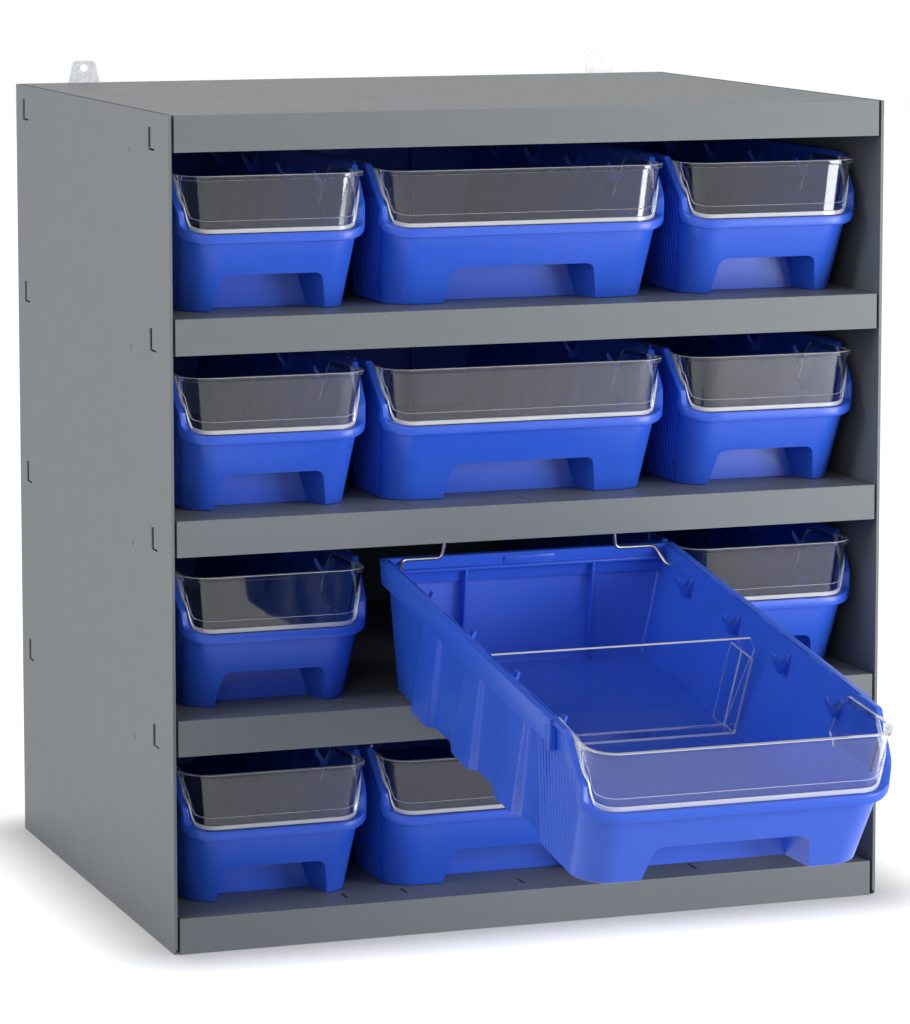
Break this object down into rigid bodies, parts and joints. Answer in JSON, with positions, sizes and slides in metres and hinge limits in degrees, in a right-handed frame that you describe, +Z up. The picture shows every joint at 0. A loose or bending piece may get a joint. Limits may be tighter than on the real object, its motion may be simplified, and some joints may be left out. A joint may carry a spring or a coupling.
{
  "type": "bin shelving unit",
  "caption": "Wall cabinet of folded sheet-metal shelves holding drafted plastic storage bins with clear front windows, wire stops and a cross divider.",
  "frame": {"origin": "centre of the wall face at the bottom edge of the back panel", "axes": "+Y points into the wall, -Y out of the front, +X to the right as seen from the front, +Z up"},
  "size_m": [0.6, 0.9027, 0.674],
  "materials": {
    "painted_steel": "satin powder coat",
    "galvanised_steel": "galvanised",
    "bin_plastic": "moulded, semi-gloss",
    "clear_plastic": "clear moulded plastic",
    "zinc_wire": "bright zinc plating"
  },
  "bodies": {
    "cabinet": {"side_left": "painted_steel", "side_right": "painted_steel", "top_panel": "painted_steel", "shelf_1": "painted_steel", "shelf_2": "painted_steel", "shelf_3": "painted_steel", "bottom_shelf": "painted_steel", "back_panel": "painted_steel", "wall_lug_left": "galvanised_steel", "wall_lug_right": "galvanised_steel"},
    "bin_1_left": {"bin_1_left": "bin_plastic", "window_1_left": "clear_plastic"},
    "wire_1_left": {"wire_stop_1_left": "zinc_wire"},
    "bin_1_middle": {"bin_1_middle": "bin_plastic", "window_1_middle": "clear_plastic"},
    "wire_1_middle": {"wire_stop_1_middle": "zinc_wire"},
    "bin_1_right": {"bin_1_right": "bin_plastic", "window_1_right": "clear_plastic"},
    "wire_1_right": {"wire_stop_1_right": "zinc_wire"},
    "bin_2_left": {"bin_2_left": "bin_plastic", "window_2_left": "clear_plastic"},
    "wire_2_left": {"wire_stop_2_left": "zinc_wire"},
    "bin_2_middle": {"bin_2_middle": "bin_plastic", "window_2_middle": "clear_plastic"},
    "wire_2_middle": {"wire_stop_2_middle": "zinc_wire"},
    "bin_2_right": {"bin_2_right": "bin_plastic", "window_2_right": "clear_plastic"},
    "wire_2_right": {"wire_stop_2_right": "zinc_wire"},
    "bin_3_left": {"bin_3_left": "bin_plastic", "window_3_left": "clear_plastic"},
    "wire_3_left": {"wire_stop_3_left": "zinc_wire"},
    "bin_3_middle": {"bin_3_middle": "bin_plastic", "window_3_middle": "clear_plastic", "divider_3_middle": "clear_plastic"},
    "wire_3_middle": {"wire_stop_3_middle": "zinc_wire"},
    "bin_3_right": {"bin_3_right": "bin_plastic", "window_3_right": "clear_plastic"},
    "wire_3_right": {"wire_stop_3_right": "zinc_wire"},
    "bin_4_left": {"bin_4_left": "bin_plastic", "window_4_left": "clear_plastic"},
    "wire_4_left": {"wire_stop_4_left": "zinc_wire"},
    "bin_4_middle": {"bin_4_middle": "bin_plastic", "window_4_middle": "clear_plastic"},
    "wire_4_middle": {"wire_stop_4_middle": "zinc_wire"},
    "bin_4_right": {"bin_4_right": "bin_plastic", "window_4_right": "clear_plastic"},
    "wire_4_right": {"wire_stop_4_right": "zinc_wire"}
  },
  "joints": [
    {"name": "bin_1_left_slide", "type": "slide", "parent": "cabinet", "child": "bin_1_left", "axis": [0, -1, 0], "range_m": [0, 0.4]},
    {"name": "wire_1_left_fold", "type": "hinge", "parent": "bin_1_left", "child": "wire_1_left", "pos_m": [-0.20749, -0.0254, 0.5967], "axis": [1, 0, 0], "range_deg": [0, 90]},
    {"name": "bin_1_middle_slide", "type": "slide", "parent": "cabinet", "child": "bin_1_middle", "axis": [0, -1, 0], "range_m": [0, 0.4]},
    {"name": "wire_1_middle_fold", "type": "hinge", "parent": "bin_1_middle", "child": "wire_1_middle", "pos_m": [0.00205, -0.0254, 0.5967], "axis": [1, 0, 0], "range_deg": [0, 90]},
    {"name": "bin_1_right_slide", "type": "slide", "parent": "cabinet", "child": "bin_1_right", "axis": [0, -1, 0], "range_m": [0, 0.4]},
    {"name": "wire_1_right_fold", "type": "hinge", "parent": "bin_1_right", "child": "wire_1_right", "pos_m": [0.21309, -0.0254, 0.5967], "axis": [1, 0, 0], "range_deg": [0, 90]},
    {"name": "bin_2_left_slide", "type": "slide", "parent": "cabinet", "child": "bin_2_left", "axis": [0, -1, 0], "range_m": [0, 0.4]},
    {"name": "wire_2_left_fold", "type": "hinge", "parent": "bin_2_left", "child": "wire_2_left", "pos_m": [-0.20749, -0.0254, 0.4401], "axis": [1, 0, 0], "range_deg": [0, 90]},
    {"name": "bin_2_middle_slide", "type": "slide", "parent": "cabinet", "child": "bin_2_middle", "axis": [0, -1, 0], "range_m": [0, 0.4]},
    {"name": "wire_2_middle_fold", "type": "hinge", "parent": "bin_2_middle", "child": "wire_2_middle", "pos_m": [0.00205, -0.0254, 0.4401], "axis": [1, 0, 0], "range_deg": [0, 90]},
    {"name": "bin_2_right_slide", "type": "slide", "parent": "cabinet", "child": "bin_2_right", "axis": [0, -1, 0], "range_m": [0, 0.4]},
    {"name": "wire_2_right_fold", "type": "hinge", "parent": "bin_2_right", "child": "wire_2_right", "pos_m": [0.21309, -0.0254, 0.4401], "axis": [1, 0, 0], "range_deg": [0, 90]},
    {"name": "bin_3_left_slide", "type": "slide", "parent": "cabinet", "child": "bin_3_left", "axis": [0, -1, 0], "range_m": [0, 0.4]},
    {"name": "wire_3_left_fold", "type": "hinge", "parent": "bin_3_left", "child": "wire_3_left", "pos_m": [-0.20749, -0.0254, 0.2835], "axis": [1, 0, 0], "range_deg": [0, 90]},
    {"name": "bin_3_middle_tilt", "type": "hinge", "parent": "cabinet", "child": "bin_3_middle", "pos_m": [0.00055, -0.476, 0.1852], "axis": [-1, 0, 0], "range_deg": [0, 8.67]},
    {"name": "wire_3_middle_fold", "type": "hinge", "parent": "bin_3_middle", "child": "wire_3_middle", "pos_m": [0.00055, -0.47273, 0.28514], "axis": [1, 0, 0], "range_deg": [0, 5]},
    {"name": "bin_3_right_slide", "type": "slide", "parent": "cabinet", "child": "bin_3_right", "axis": [0, -1, 0], "range_m": [0, 0.4]},
    {"name": "wire_3_right_fold", "type": "hinge", "parent": "bin_3_right", "child": "wire_3_right", "pos_m": [0.21309, -0.0254, 0.2835], "axis": [1, 0, 0], "range_deg": [0, 90]},
    {"name": "bin_4_left_slide", "type": "slide", "parent": "cabinet", "child": "bin_4_left", "axis": [0, -1, 0], "range_m": [0, 0.4]},
    {"name": "wire_4_left_fold", "type": "hinge", "parent": "bin_4_left", "child": "wire_4_left", "pos_m": [-0.20749, -0.0254, 0.1269], "axis": [1, 0, 0], "range_deg": [0, 90]},
    {"name": "bin_4_middle_slide", "type": "slide", "parent": "cabinet", "child": "bin_4_middle", "axis": [0, -1, 0], "range_m": [0, 0.3]},
    {"name": "wire_4_middle_fold", "type": "hinge", "parent": "bin_4_middle", "child": "wire_4_middle", "pos_m": [0.00205, -0.0254, 0.1269], "axis": [1, 0, 0], "range_deg": [0, 90]},
    {"name": "bin_4_right_slide", "type": "slide", "parent": "cabinet", "child": "bin_4_right", "axis": [0, -1, 0], "range_m": [0, 0.4]},
    {"name": "wire_4_right_fold", "type": "hinge", "parent": "bin_4_right", "child": "wire_4_right", "pos_m": [0.21309, -0.0254, 0.1269], "axis": [1, 0, 0], "range_deg": [0, 90]}
  ]
}
